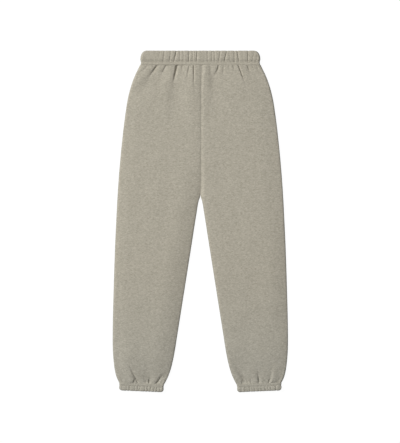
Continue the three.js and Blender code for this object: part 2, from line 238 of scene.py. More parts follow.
# The course of a fold, in shares of its length, or of its width for what lies beside it
STEEP_WALL = 0.75
GENTLE_WALL = 1.5
CORE_FADES_FROM = 0.2
CORE_WIDENS = 0.5
HOLLOW_AT_SEAM = 0.35
HOLLOW_FADES_FROM = 0.4
HOLLOW_WIDENS = 0.2
HOLLOW_BESIDE = 0.3
RIDGE_BESIDE = 1.2
RIDGE_WIDTH = 0.7


def furrow(offset: Array, width: float) -> Array:
    """A trough of depth 1 whose left wall is steep and whose right wall is gentle, as a fold's is."""
    return bell(offset / np.where(offset < 0, STEEP_WALL * width, GENTLE_WALL * width))


def fade(share: Array, start: float) -> Array:
    """1 up to a share at which a fold starts to fade, then down to 0 at a share of 1."""
    return 1 - smooth((share - start) / (1 - start))


@dataclass(frozen=True)
class Crease:
    """A fold that a gathered seam sets off: a sharp core in a soft hollow, with a ridge beside it.

    The hollow falls off where the core is and rises gently to the right. The ridge swells on
    the left. Sizes are millimetres.
    """

    at: float  # place along the seam
    lean: float  # how far the far end of the core lies from that
    length: float
    depth: float
    width: float = 2.2
    bow: float = 0.0  # how far the middle of the core lies beside its chord
    hollow: float = 0.0  # depth of the hollow
    spread: float = 9.0  # width of the hollow
    reach: float = 1.9  # length of the hollow over that of the core
    ridge: float = 0.0  # height of the ridge
    pinch: float = 0.3  # share of its depth that it has near the seam
    pinch_reach: float = 7.0
    held: float = 0.25  # share of all this that is left where the needle holds the cloth
    held_reach: float = 2.0
    trail: float = 0.4  # how much of its lean the hollow keeps beyond the core

    def drop(self, across: Array, along: Array, rightwards: int = 1) -> Array:
        """How far the fold lowers the cloth.

        Args:
            across: Places along the seam.
            along: Distances from the seam.
            rightwards: 1 where places grow to the viewer's right, -1 where they grow to the left.

        Returns:
            The drop in millimetres, negative on the ridge.
        """
        share = along / self.length
        inside = np.clip(share, 0, 1)
        bowed = 4 * inside * (1 - inside)
        middle = self.at + self.lean * share + self.bow * bowed
        offset = rightwards * (across - middle)
        pinched = lerp(self.pinch, 1.0, smooth(along / self.pinch_reach))
        core = self.depth * pinched * fade(share, CORE_FADES_FROM)
        found = core * furrow(offset, self.width * (1 + CORE_WIDENS * inside))
        if self.hollow or self.ridge:
            soft = lerp(HOLLOW_AT_SEAM, 1.0, smooth(share)) * fade(share / self.reach, HOLLOW_FADES_FROM)
            wide = self.spread * (1 + HOLLOW_WIDENS * share)
            strayed = rightwards * self.lean * (1 - self.trail) * np.maximum(share - 1, 0)
            beside = offset + strayed - HOLLOW_BESIDE * wide
            found = found + self.hollow * soft * furrow(beside, wide)
            found = found - self.ridge * soft * bell((beside + RIDGE_BESIDE * wide) / (RIDGE_WIDTH * wide))
        return found * lerp(self.held, 1.0, smooth(along / self.held_reach))


WAIST_CREASES = (
    Crease(-152, -26, 26, 1.4, 3.0, hollow=0.5, spread=7),
    Crease(-126.5, -25, 38, 4.1, 3.2, hollow=4.0, spread=22, reach=2.9, ridge=0.6, trail=0.9),
    Crease(-99, -18, 34, 2.0, 2.9, hollow=1.9, spread=14, reach=2.8, ridge=0.2),
    Crease(-69.5, -11, 60, 6.3, 2.7, hollow=3.2, spread=17, reach=3.5, ridge=0.4),
    Crease(-52.7, -2, 20, 1.4, 2.2, hollow=0.4, spread=6),
    Crease(-32, -9, 50, 1.8, 2.4, hollow=0.8, spread=8, reach=2.2, ridge=0.4),
    Crease(-30, -10, 250, -1.5, 15.0, pinch=0.2),
    Crease(-19.8, 0.8, 70, 3.0, 1.7, hollow=0.5, spread=6, reach=1.5),
    Crease(17, -10, 90, -1.1, 6.0, pinch=0.6),
    Crease(29, 4, 66, 1.0, 5.0, hollow=1.7, spread=13, reach=3.0),
    Crease(52.5, -13, 32, 3.3, 2.2, bow=3.0, hollow=1.8, spread=11, reach=2.6, ridge=0.4),
    Crease(68, -2, 36, 1.8, 2.6, hollow=1.4, spread=11, reach=2.6),
    Crease(84, -1, 16, 1.0, 2.0),
    Crease(96, 2, 20, 1.4, 2.0, hollow=0.5, spread=8, reach=2.6),
    Crease(110, 23, 60, 3.9, 1.4, hollow=0.8, spread=9, reach=1.6, ridge=0.4),
    Crease(137.5, 8, 26, 2.8, 2.3, hollow=1.6, spread=12, reach=3.0),
    Crease(152, 3, 14, 1.0, 1.9),
    Crease(164, 8, 24, 0.8, 2.4, hollow=0.4, spread=7),
)

# at runs from the side end of the cuff's seam towards the inner leg, and along runs up from it
ANKLE_CREASES = {
    Side.RIGHT: (
        Crease(0, -6, 190, 2.0, 9.0, pinch=0.0, pinch_reach=80),
        Crease(38, -8, 170, -1.9, 16.0, pinch=0.5),
        Crease(10, -5, 22, 1.0, 2.6, hollow=0.3, spread=6),
        Crease(26, -3, 15, 0.8, 2.4),
        Crease(43.5, 4, 18, 3.0, 2.3, pinch=0.6),
        Crease(56, -31, 64, 3.8, 2.9, bow=-1.0, hollow=2.0, spread=11, reach=1.4, ridge=0.9, pinch=0.6),
        Crease(79, -3, 32, 1.6, 6.0, hollow=1.0, spread=9),
        Crease(88.3, 0, 18, 4.0, 2.3, hollow=0.6, spread=6, pinch=0.6),
        Crease(108, 19, 25, 3.6, 2.8, hollow=1.6, spread=10, reach=1.9, ridge=0.6, pinch=0.6),
        Crease(122, 9, 18, 1.1, 2.4),
    ),
    Side.LEFT: (
        Crease(12, -8, 22, 1.2, 2.6),
        Crease(30, -16, 66, -2.7, 6.5, pinch=0.6),
        Crease(38.5, -6, 18, 2.2, 2.4, hollow=0.6, spread=7, reach=3.0, pinch=0.6),
        Crease(53, 0, 15, 0.8, 2.4),
        Crease(66, 6, 38, 3.6, 2.4, hollow=1.6, spread=10, reach=1.8, ridge=0.4, pinch=0.6),
        Crease(89.5, 3, 18, 1.7, 2.2, hollow=0.4, spread=6),
        Crease(99.5, 4, 18, 2.0, 2.2, pinch=0.5),
        Crease(115, 3, 16, 2.2, 2.6, pinch=0.7),
        Crease(104, 44, 78, 3.4, 9.0, hollow=1.4, spread=14, reach=1.4, pinch=0.2),
    ),
}


@dataclass(frozen=True)
class Puckers:
    """Small dents that the needle leaves along a gathered seam, at uneven distances."""

    seed: int
    spacing: float = 9.0
    length: float = 11.0
    depth: float = 0.55
    width: float = 1.9
    places: tuple[float, float] = (0.1, 0.9)  # the first and last place in a dent's stretch
    lengths: tuple[float, float] = (0.5, 1.3)
    depths: tuple[float, float] = (0.4, 1.2)
    leans: tuple[float, float] = (-3, 3)

    def between(self, start: float, end: float) -> list[Crease]:
        """The dents from one place along the seam to another.

        Args:
            start: First place.
            end: Last place.

        Returns:
            One small crease for each dent.
        """
        random = np.random.default_rng(self.seed)
        count = round((end - start) / self.spacing)
        made = []
        for i in range(count):
            at = start + (i + random.uniform(*self.places)) * self.spacing
            length = self.length * random.uniform(*self.lengths)
            depth = self.depth * random.uniform(*self.depths)
            made.append(Crease(at, random.uniform(*self.leans), length, depth, self.width))
        return made


@dataclass(frozen=True)
class Unevenness:
    """The slight waviness of laid cloth: a sum of waves of like length in all directions."""

    wavelength: float
    height: float
    seed: int
    waves: int = 28
    lengths: tuple[float, float] = (0.7, 1.5)  # the waves' lengths over the usual one

    def at(self, x: Array, y: Array) -> Array:
        """The rise at each point, with height as its usual size."""
        random = np.random.default_rng(self.seed)
        total = np.zeros_like(x)
        for _ in range(self.waves):
            turn, start = random.uniform(0, 2 * math.pi, 2)
            length = self.wavelength * random.uniform(*self.lengths)
            phase = 2 * math.pi * (x * math.cos(turn) + y * math.sin(turn)) / length
            total = total + np.sin(phase + start)
        return self.height * math.sqrt(2 / self.waves) * total


def run_along(line: Array) -> Array:
    """The distance along a line of points at each of them."""
    steps = np.linalg.norm(np.diff(line, axis=0), axis=1)
    return np.concatenate([[0.0], np.cumsum(steps)])


def deselect_all() -> None:
    """Leaves nothing selected, so that the next operator acts on its own piece."""
    bpy.ops.object.select_all(action="DESELECT")


def choose(piece: bpy.types.Object) -> None:
    """Selects one piece and makes it active."""
    deselect_all()
    piece.select_set(True)
    bpy.context.view_layer.objects.active = piece


@contextmanager
def editing(piece: bpy.types.Object) -> Iterator[None]:
    """Opens a piece in edit mode with everything selected, and closes it again."""
    choose(piece)
    bpy.ops.object.mode_set(mode="EDIT")
    bpy.ops.mesh.select_all(action="SELECT")
    yield
    bpy.ops.object.mode_set(mode="OBJECT")


def points_of(mesh: bpy.types.Mesh) -> Array:
    """The mesh's points as rows of three numbers."""
    found = np.empty(3 * len(mesh.vertices))
    mesh.vertices.foreach_get("co", found)
    return found.reshape(-1, 3)


def set_points(mesh: bpy.types.Mesh, points: Array) -> None:
    """Moves the mesh's points to these rows of three numbers."""
    mesh.vertices.foreach_set("co", np.ascontiguousarray(points, dtype=np.float32).ravel())
    mesh.update()


def write_cloth(mesh: bpy.types.Mesh, values: Array) -> None:
    """Writes the cloth attribute, three numbers for each point."""
    kept = mesh.attributes.get(CLOTH_ATTRIBUTE)
    if kept is None:
        kept = mesh.attributes.new(CLOTH_ATTRIBUTE, "FLOAT_VECTOR", "POINT")
    kept.data.foreach_set("vector", np.ascontiguousarray(values, dtype=np.float32).ravel())


def read_cloth(mesh: bpy.types.Mesh) -> Array:
    """Reads the cloth attribute, three numbers for each point."""
    found = np.empty(3 * len(mesh.vertices), np.float32)
    mesh.attributes[CLOTH_ATTRIBUTE].data.foreach_get("vector", found)
    return found.reshape(-1, 3).astype(float)


def apply_modifier(piece: bpy.types.Object, kind: str, **settings: object) -> None:
    """Adds a modifier with its settings and applies it.

    Args:
        piece: The piece to change.
        kind: Blender's name for the kind of modifier.
        **settings: Values for the modifier's own fields.
    """
    choose(piece)
    modifier = piece.modifiers.new(kind.title(), kind)
    for name, value in settings.items():
        setattr(modifier, name, value)
    bpy.ops.object.modifier_apply(modifier=modifier.name)


def finish_piece(
    piece: bpy.types.Object, node: str | None, finish: bpy.types.Material, sharp_deg: float = 55.0
) -> None:
    """Shades a piece, gives it its material and seats it in the frame.

    Args:
        piece: The finished mesh.
        node: The CAD node that it replaces, if there is one.
        finish: Its material.
        sharp_deg: Angle between faces above which an edge stays sharp.
    """
    choose(piece)
    bpy.ops.object.shade_smooth_by_angle(angle=math.radians(sharp_deg))
    piece.data.materials.clear()
    piece.data.materials.append(finish)
    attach(piece, BODY)
    if node:
        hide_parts(node)
    LOG.info("%s: %d points, %d faces", piece.name, len(piece.data.vertices), len(piece.data.polygons))


def linear(hex_colour: str) -> tuple[float, float, float, float]:
    """Turns a colour such as #a9a395 from sRGB to Blender's linear values."""
    channels = [int(hex_colour[i:i + 2], 16) / 255 for i in (1, 3, 5)]
    turned = [c / 12.92 if c <= 0.04045 else ((c + 0.055) / 1.055) ** 2.4 for c in channels]
    return (*turned, 1.0)


def add_node(
    tree: bpy.types.NodeTree,
    kind: str,
    settings: dict[str, object] | None = None,
    links: dict[str | int, object] | None = None,
) -> bpy.types.Node:
    """Adds a shader node.

    Args:
        tree: The node tree that it goes into.
        kind: The node's type name.
        settings: Values for the node's own fields.
        links: For each input, by name or number, a value or the output that feeds it.

    Returns:
        The new node.
    """
    node = tree.nodes.new(kind)
    for name, value in (settings or {}).items():
        setattr(node, name, value)
    for name, value in (links or {}).items():
        if isinstance(value, bpy.types.NodeSocket):
            tree.links.new(value, node.inputs[name])
        else:
            node.inputs[name].default_value = value
    return node


def new_material(name: str) -> tuple[bpy.types.Material, bpy.types.NodeTree, bpy.types.Node]:
    """Makes an empty material, and gives it with its node tree and its shader."""
    made = bpy.data.materials.new(name)
    made.use_nodes = True
    return made, made.node_tree, made.node_tree.nodes["Principled BSDF"]


def add_ramp(
    tree: bpy.types.NodeTree, share: bpy.types.NodeSocket, stops: Sequence[tuple[float, str]]
) -> bpy.types.NodeSocket:
    """Adds a colour ramp.

    Args:
        tree: The node tree that it goes into.
        share: The value that it reads.
        stops: Places from 0 to 1 with their sRGB colours, the two outer ones first.

    Returns:
        The output for the colour.
    """
    node = add_node(tree, "ShaderNodeValToRGB", None, {"Fac": share})
    elements = node.color_ramp.elements
    for i, (place, colour) in enumerate(stops):
        stop = elements[i] if i < 2 else elements.new(place)
        stop.position = place
        stop.color = linear(colour)
    return node.outputs["Color"]


def set_inputs(shader: bpy.types.Node, values: dict[str, object]) -> None:
    """Puts constant values on a shader's inputs."""
    for name, value in values.items():
        shader.inputs[name].default_value = value


@dataclass(frozen=True)
class FleeceFinish:
    """Cotton-rich sweatshirt fleece: heather yarn knitted in jersey, brushed and laundered.

    The yarn mixes pale and dark fibres, so the face is flecked in short streaks that lie
    across the leg, along the knitted courses. The nap scatters light, so nothing shines.
    """

    name: str = "brushed_heather_fleece"
    yarn: str = "#b3ad9f"
    pale_fibre: str = "#c4beb1"
    dark_fibre: str = "#a09a8d"
    streak_mm: tuple[float, float] = (5.2, 1.6)  # length along the course, and thickness
    fleck_mm: float = 1.5  # coarser than a fibre, or it would vanish at the photo's size
    fleck_share: float = 0.3
    cloud_mm: tuple[float, float] = (9.0, 6.3)  # patches in which one kind of fibre is more frequent
    cloud_share: float = 0.3
    contrast: float = 0.2  # half the range of the mixed grains over which the fibres' colours go
    cool: tuple[float, float, float] = (0.98, 1.0, 1.026)  # painted cool light: the colour turns cooler towards the ankles, in place of cooler studio light falling there
    cool_from: float = -0.12  # place in metres up the garment at which it starts
    loop_mm: tuple[float, float] = (1.1, 0.88)  # loops of the jersey face
    nap_mm: tuple[float, float] = (0.8, 1.28)
    nap_height_mm: float = 0.35
    roughness: float = 0.93
    specular: float = 0.1
    sheen: float = 0.05
    sheen_roughness: float = 0.55
    sheen_tint: str = "#e8e3d6"
    grain_rough: float = 0.6

    def material(self) -> bpy.types.Material:
        """Makes the material: soft streaks and flecks to the eye, a painted cool light cast towards the
        ankles, and a short, dull nap.
        """
        made, tree, shader = new_material(self.name)
        cloth = add_node(tree, "ShaderNodeAttribute", {"attribute_name": CLOTH_ATTRIBUTE}).outputs["Vector"]

        def grain(long_mm: float, wide_mm: float, detail: float, shift: float) -> bpy.types.NodeSocket:
            """Noise in grains of this size along and across the courses."""
            scale = (1 / (long_mm * MM), 1 / (wide_mm * MM), 1 / (wide_mm * MM))
            placed = add_node(tree, "ShaderNodeMapping", None, {
                "Vector": cloth, "Scale": scale, "Location": (shift, shift, shift)})
            noise = add_node(tree, "ShaderNodeTexNoise", {"noise_dimensions": "3D"}, {
                "Vector": placed.outputs[0], "Scale": 1.0, "Detail": detail, "Roughness": self.grain_rough})
            return noise.outputs["Fac"]

        streaks = grain(*self.streak_mm, detail=3.0, shift=3.7)
        flecks = grain(self.fleck_mm, self.fleck_mm, detail=1.0, shift=11.3)
        clouds = grain(*self.cloud_mm, detail=2.0, shift=23.9)
        mixed = add_node(tree, "ShaderNodeMath", {"operation": "MULTIPLY_ADD"}, {
            0: flecks, 1: self.fleck_share, 2: streaks})
        blended = add_node(tree, "ShaderNodeMath", {"operation": "MULTIPLY_ADD"}, {
            0: clouds, 1: self.cloud_share, 2: mixed.outputs[0]})
        mean = 0.5 * (1 + self.fleck_share + self.cloud_share)
        low, high = mean - self.contrast, mean + self.contrast
        stops = ((low, self.dark_fibre), (high, self.pale_fibre), (mean, self.yarn))
        colour = add_ramp(tree, blended.outputs[0], stops)
        # painted cool light: the base colour is tinted cooler towards the ankles, in place of cooler light
        # falling there
        place = add_node(tree, "ShaderNodeTexCoord").outputs["Object"]
        upwards = add_node(tree, "ShaderNodeSeparateXYZ", None, {0: place}).outputs["Y"]
        share = add_node(tree, "ShaderNodeMapRange", {"interpolation_type": "SMOOTHSTEP"}, {
            "Value": upwards, "From Min": self.cool_from, "From Max": cad_low.y})
        painted_light_cast = add_node(tree, "ShaderNodeMix", {"data_type": "VECTOR"}, {
            0: share.outputs[0], 4: (1.0, 1.0, 1.0), 5: self.cool})
        painted_light_tinted = add_node(tree, "ShaderNodeVectorMath", {"operation": "MULTIPLY"}, {
            0: colour, 1: painted_light_cast.outputs[1]})
        tree.links.new(painted_light_tinted.outputs[0], shader.inputs["Base Color"])

        loops = grain(*self.loop_mm, detail=0.0, shift=31.1)
        nap = grain(*self.nap_mm, detail=3.0, shift=41.7)
        pile = add_node(tree, "ShaderNodeMath", {"operation": "ADD"}, {0: loops, 1: nap})
        raised = add_node(tree, "ShaderNodeBump", None, {
            "Strength": 1.0, "Distance": self.nap_height_mm * MM, "Height": pile.outputs[0]})
        tree.links.new(raised.outputs[0], shader.inputs["Normal"])
        set_inputs(shader, {
            "Roughness": self.roughness, "Specular IOR Level": self.specular, "Sheen Weight": self.sheen,
            "Sheen Roughness": self.sheen_roughness, "Sheen Tint": linear(self.sheen_tint)})
        return made


@dataclass(frozen=True)
class ThreadFinish:
    """Textured polyester sewing thread in the cloth's colour: smoother and a little brighter."""

    name: str = "textured_polyester_thread"
    colour: str = "#b5af9f"
    # painted shade: the thread's colour in the grooves between its plies
    shade: str = "#9d9787"
    ply_mm: float = 0.5
    ply_wander: float = 1.5
    ply_height_mm: float = 0.1
    ply_relief: float = 0.6
    roughness: float = 0.6
    sheen: float = 0.2

    def material(self) -> bpy.types.Material:
        """Makes the material, with the plies of the thread as fine waves and painted shade in the grooves
        between them.
        """
        made, tree, shader = new_material(self.name)
        place = add_node(tree, "ShaderNodeTexCoord").outputs["Object"]
        size = 1 / (self.ply_mm * MM)
        plies = add_node(tree, "ShaderNodeTexWave", {"bands_direction": "DIAGONAL"}, {
            "Vector": place, "Scale": size / (2 * math.pi), "Distortion": self.ply_wander})
        # the low parts of the ply waves take the darker colour: painted shade in the grooves between plies
        colour = add_ramp(tree, plies.outputs["Fac"], ((0.0, self.shade), (1.0, self.colour)))
        tree.links.new(colour, shader.inputs["Base Color"])
        raised = add_node(tree, "ShaderNodeBump", None, {
            "Strength": self.ply_relief, "Distance": self.ply_height_mm * MM, "Height": plies.outputs["Fac"]})
        tree.links.new(raised.outputs[0], shader.inputs["Normal"])
        set_inputs(shader, {"Roughness": self.roughness, "Sheen Weight": self.sheen})
        return made


@dataclass(frozen=True)
class Drape:
    """How one leg lies: each of its sides has its own fullness. Sizes are millimetres."""

    outer_reach: float  # distance from the side edge at which the front is level
    inner_reach: float
    ankle_reach: float  # the same for the inner side just above the cuff
    loft: float  # how far the brushed inside lifts the front of the knee above the frame's walls
    rim_share: float  # share of the loft that already shows in the outer edge's roll
    inner_slope: float  # share of its full slope that the inner side has
    inner_sink: float  # how far the inner edge is pressed below the frame's edge
    ditch_width: float  # how gently the half falls to the centre seam
    ditch_shift: float  # how far beside the centre seam its groove lies, at the waist


MEETING_WIDTH = 1.3  # how gently the two halves fall together, over the width of the ditch
GROOVE_END_SHIFT = 2.2  # how far beside the centre seam the left half's groove lies further down
GROOVE_SHIFT_REACH = 70.0
GROOVE_LIP = 0.4  # how much deeper that groove is than the seam beside it
DRAPES = {
    Side.RIGHT: Drape(44, 70, 54, 6.2, 0.52, 1.0, 1.2, 8.5, 0.0),
    Side.LEFT: Drape(62, 40, 40, 4.4, 0.0, 0.3, 0.0, 4.6, 5.0),
}


@dataclass(frozen=True)
class LegPanel:
    """One front or back half, from the waistband to the cuff, as a wall of fleece.

    Its grid has u from 0 at the side seam to 1 at the inner one. A few columns go round each
    rolled edge, and the grid is finer near the two gathered seams.
    """

    side: Side
    layer: Layer
    finish: bpy.types.Material
    columns: int = 66
    roll_columns: int = 4
    row_step: float = 6.5
    waist_zone: float = 112.0  # length below the waistband that is fine enough for creases
    ankle_zone: float = 86.0
    waist_cuts: int = 3
    ankle_cuts: int = 2
    hip_loft: float = 2.0  # lift of the front at the hip
    ankle_fall: float = 85.0  # stretch above the cuff over which the loft goes
    inner_dome_from: float = 290.0  # place down the leg where its inner side starts to slope
    ditch: float = 1.5  # depth of the line in which the two halves meet
    seam_dip: float = 0.2  # how far the front is pulled down at the two gathered seams
    seam_reach: float = 1.8
    back_shift: float = 0.7  # how far the back's centre seam lies from under the front's
    crease_press: float = 0.36  # share of a fold's depth that the layer lying underneath keeps
    crease_room: float = 4.5  # deepest drop that it has room for
    gather_ease: float = 1.12  # cut width at the waist, over the sewn width
    knee: tuple[float, float] = (250.0, 650.0)  # stretch over which the hip's loft becomes the knee's
    hip_rise: float = 50.0  # stretch below the waistband over which the loft comes up
    shin: tuple[float, float] = (800.0, 900.0)  # stretch over which the rim loses its loft
    ankle: tuple[float, float] = (850.0, 930.0)  # stretch over which the inner side turns to its ankle reach
    sink_rise: float = 30.0  # stretch above the cuff over which the inner edge comes up again
    seed: int = 27
    layer_seed: int = 10  # what sets the draws of the front and of the back apart
    ankle_seed: int = 40
    wide_waves: tuple[float, float] = (95.0, 0.28)  # length and height of the slight waviness
    fine_waves: tuple[float, float] = (26.0, 0.07)
    waist_dents: tuple[float, float] = (-176.0, 176.0)  # the part of each seam that has needle dents
    ankle_dents: tuple[float, float] = (4.0, 130.0)
    cut_samples: int = 400

    @property
    def node(self) -> str:
        """The CAD node that this panel replaces."""
        return f"{self.layer.name.lower()}_{self.side.name.lower()}"

    @property
    def roll_share(self) -> float:
        """The share of the columns that goes round one rolled edge."""
        return self.roll_columns / self.columns

    def roll(self, section: dict[str, Array]) -> Array:
        """How far a section's rolled edge reaches across."""
        return (section["edge"] / 2) ** 2 / ROLL_TIGHTNESS

    def across(self, u: Array, down: Array) -> tuple[dict[str, Array], Array, Array, Array, Array]:
        """Where the grid's columns lie across a section.

        Args:
            u: Place in the grid from the side seam.
            down: Distance down from the waistband's edge.

        Returns:
            The section, its width, the distance from the side edge, the lift round the rolled
            edges and the share of the inner edge that is rolled.
        """
        section = LEG.read(down)
        width = np.hypot(section["outer"] - section["inner"], section["tilt"])
        roll = self.roll(section)
        share = self.roll_share
        near = QUARTER_TURN * np.clip(u / share, 0, 1)
        far = QUARTER_TURN * np.clip((1 - u) / share, 0, 1)
        level = lerp(roll, width - roll, np.clip((u - share) / (1 - 2 * share), 0, 1))
        place = np.where(u < share, roll * (1 - np.cos(near)), level)
        place = np.where(u > 1 - share, width - roll * (1 - np.cos(far)), place)
        rolled = smooth((down - CROTCH + CROTCH_BLEND) / (2 * CROTCH_BLEND))
        lift = np.sin(near) * (1 + (np.sin(far) - 1) * rolled)
        return section, width, place, lift, rolled

    def over_cloth(self, u: Array, down: Array) -> Array:
        """The distance over the cloth from the side seam, also where it is rolled.

        Args:
            u: Place in the grid from the side seam.
            down: Distance down from the waistband's edge.

        Returns:
            Distances in millimetres.
        """
        section, _, place, _, rolled = self.across(u, down)
        roll = self.roll(section)
        arc = QUARTER_TURN * (roll + section["edge"] / 2) / 2
        near = np.clip(u / self.roll_share, 0, 1)
        far = np.clip((1 - u) / self.roll_share, 0, 1)
        before = arc * near - roll * (1 - np.cos(QUARTER_TURN * near))
        after = arc * (1 - far) - roll * np.cos(QUARTER_TURN * far)
        return place + before + rolled * after

    def form(self, u: Array, down: Array) -> Array:
        """The outer face without its folds.

        Args:
            u: Place in the grid from the side seam.
            down: Distance down from the waistband's edge.

        Returns:
            Points in millimetres.
        """
        section, width, place, lift, rolled = self.across(u, down)
        seam = section["edge"] / 2
        share = place / width
        x = self.side.value * lerp(section["outer"], section["inner"], share)
        y = LENGTH / 2 - down - section["tilt"] * share
        if self.layer is Layer.BACK:
            x = x + self.back_shift * share * (1 - rolled)
            return np.stack([x, y, (seam - SEAM_GAP / 2) * (1 - lift)], axis=-1)
        drape = DRAPES[self.side]
        from_inner = width - place
        loft = lerp(self.hip_loft, drape.loft, rise(down, *self.knee))
        loft = loft * smooth((down - PANEL_TOP) / self.hip_rise)
        loft = loft * smooth((PANEL_END - down) / self.ankle_fall)
        rim = section["edge"] + drape.rim_share * (1 - rise(down, *self.shin)) * loft
        top = section["crown"] + loft
        domed = rise(down, self.inner_dome_from, CROTCH + CROTCH_BLEND)
        sunk = section["edge"] - drape.inner_sink * rolled * smooth((PANEL_END - down) / self.sink_rise)
        inner_reach = lerp(drape.inner_reach, drape.ankle_reach, rise(down, *self.ankle))
        fall = (top - sunk) * domed
        sloped = drape.inner_slope * (1 - crown(from_inner / inner_reach))
        beside = np.maximum(from_inner - drape.ditch_shift / 2, 0)
        meeting = (1 - rolled) * (1 - drape.inner_slope) * bell(beside / (MEETING_WIDTH * drape.ditch_width))
        height = lerp(rim, top, crown(place / drape.outer_reach)) - fall * (sloped + meeting)
        base = seam + SEAM_GAP / 2
        return np.stack([x, y, base + (height - base) * lift], axis=-1)

    def centre_groove(self, from_inner: Array, below_waist: Array) -> Array:
        """The line of the centre seam, whose allowance lies over to the wearer's right.

        Args:
            from_inner: Distances from the seam.
            below_waist: Distances from the waistband.

        Returns:
            The drop in millimetres.
        """
        drape = DRAPES[self.side]
        if self.side is Side.RIGHT:
            return self.ditch * np.exp(-from_inner / drape.ditch_width)
        shift = lerp(drape.ditch_shift, GROOVE_END_SHIFT, smooth(below_waist / GROOVE_SHIFT_REACH))
        wall = bell(np.maximum(from_inner - shift, 0) / drape.ditch_width)
        return (self.ditch + GROOVE_LIP * np.clip(from_inner / shift, 0, 1)) * wall

    def folds(self, u: Array, down: Array) -> Array:
        """How far creases, puckers, seam ditches and slight waviness lower the cloth.

        Args:
            u: Place in the grid from the side seam.
            down: Distance down from the waistband's edge.

        Returns:
            The drop in millimetres.
        """
        section, width, place, lift, rolled = self.across(u, down)
        x = self.side.value * lerp(section["outer"], section["inner"], place / width)
        if self.layer is Layer.BACK:  # its folds differ from the front's, as if seen in a mirror
            x = -x
        below_waist = down - PANEL_TOP
        above_cuff = PANEL_END - down
        # the same seed for both halves, because they meet in the middle
        seed = self.seed + self.layer_seed * self.layer.value
        drop = np.zeros_like(x)
        for crease in (*WAIST_CREASES, *Puckers(seed).between(*self.waist_dents)):
            drop = drop + crease.drop(x, below_waist)
        leg = self.side if self.layer is Layer.FRONT else Side(-self.side.value)
        from_side = float(LEG.read(np.array(PANEL_END))["outer"]) - np.abs(x)
        ankle = Puckers(seed + self.ankle_seed + self.side.value)
        for crease in (*ANKLE_CREASES[leg], *ankle.between(*self.ankle_dents)):
            drop = drop + crease.drop(from_side, above_cuff, -leg.value)
        pulled = bell(below_waist / self.seam_reach) + bell(above_cuff / self.seam_reach)
        drop = drop + self.seam_dip * pulled
        drop = drop + (1 - rolled) * self.centre_groove(width - place, below_waist)
        waves = Unevenness(*self.wide_waves, seed).at(x, down)
        waves = waves + Unevenness(*self.fine_waves, seed + 1).at(x, down)
        return (drop + waves) * lift

    def flat_grid(self) -> bpy.types.Object:
        """The grid laid flat, with u along X and the distance down along Y, refined by zones."""
        rows = round((PANEL_END - PANEL_TOP) / self.row_step)
        deselect_all()
        bpy.ops.mesh.primitive_grid_add(x_subdivisions=self.columns, y_subdivisions=rows, size=1)
        piece = bpy.context.object
        piece.name = piece.data.name = f"{self.node}_cloth"
        points = points_of(piece.data)
        points[:, 0] += 0.5
        points[:, 1] = lerp(PANEL_TOP, PANEL_END, points[:, 1] + 0.5)
        set_points(piece.data, points)
        self.refine(piece, lambda down: down < PANEL_TOP + self.waist_zone, self.waist_cuts)
        self.refine(piece, lambda down: down > PANEL_END - self.ankle_zone, self.ankle_cuts)
        return piece

    def refine(self, piece: bpy.types.Object, chosen: Callable[[float], bool], cuts: int) -> None:
        """Subdivides the faces of a zone.

        Args:
            piece: The flat grid.
            chosen: Tells from a face's distance down whether it is in the zone.
            cuts: How many new lines go across each face.
        """
        choose(piece)
        bpy.ops.object.mode_set(mode="EDIT")
        bpy.ops.mesh.select_all(action="DESELECT")
        bpy.ops.object.mode_set(mode="OBJECT")
        for face in piece.data.polygons:
            face.select = chosen(face.center.y)
        bpy.ops.object.mode_set(mode="EDIT")
        bpy.ops.mesh.select_mode(type="FACE")
        bpy.ops.mesh.subdivide(number_cuts=cuts)
        bpy.ops.object.mode_set(mode="OBJECT")

    def build(self) -> bpy.types.Object:
        """Builds the wall: outer form, thickness, then the folds in both of its faces."""
        piece = self.flat_grid()
        mesh = piece.data
        grid = points_of(mesh)
        write_cloth(mesh, grid * (1, MM, 1))
        set_points(mesh, self.form(grid[:, 0], grid[:, 1]))
        self.face_outwards(piece)
        apply_modifier(piece, "SOLIDIFY", thickness=CLOTH, offset=-1, use_rim=True, use_even_offset=True)
        mesh = piece.data
        grid = read_cloth(mesh) / (1, MM, 1)
        drop = self.folds(grid[:, 0], grid[:, 1])
        points = points_of(mesh)
        if self.layer is Layer.FRONT:
            points[:, 2] -= drop
        else:  # the face on the surface is creased upwards, and its brushed inside stays level
            outer_face = np.arange(len(points)) < len(points) // 2
            pressed = self.crease_press * np.clip(drop, 0, self.crease_room)
            points[:, 2] += np.where(outer_face, pressed, 0)
        set_points(mesh, points * MM)
        beside = self.side.value * self.over_cloth(grid[:, 0], grid[:, 1])
        patch = np.full(len(grid), PATCH_STEP * self.layer.value)
        cloth = np.stack([beside, grid[:, 1], patch], axis=-1)
        write_cloth(mesh, cloth * MM)
        return piece

    def face_outwards(self, piece: bpy.types.Object) -> None:
        """Turns the sheet's faces to the outside of the garment."""
        up = sum(face.normal.z * face.area for face in piece.data.polygons)
        if (up > 0) != (self.layer is Layer.FRONT):
            with editing(piece):
                bpy.ops.mesh.flip_normals()

    def cut(self) -> tuple[float, float, float]:
        """The size that the panel was cut to.

        Returns:
            Width, length and area, in metres and square metres.
        """
        down = np.linspace(PANEL_TOP, PANEL_END, self.cut_samples)
        section, width, _, _, _ = self.across(np.zeros_like(down), down)
        girth = width + section["edge"] / 2 * (QUARTER_TURN - 1)
        ease = 1 + (self.gather_ease - 1) * (1 - smooth((down - PANEL_TOP) / self.waist_zone))
        area = float(np.mean(girth * ease)) * (PANEL_END - PANEL_TOP)
        return float(girth.max()) * MM, (PANEL_END - PANEL_TOP) * MM, area * MM * MM

    def dress(self) -> bpy.types.Object:
        """Builds the panel, finishes it and works out its cut, which is not used further."""
        piece = self.build()
        finish_piece(piece, self.node, self.finish)
        width, length, area = self.cut()
        return piece


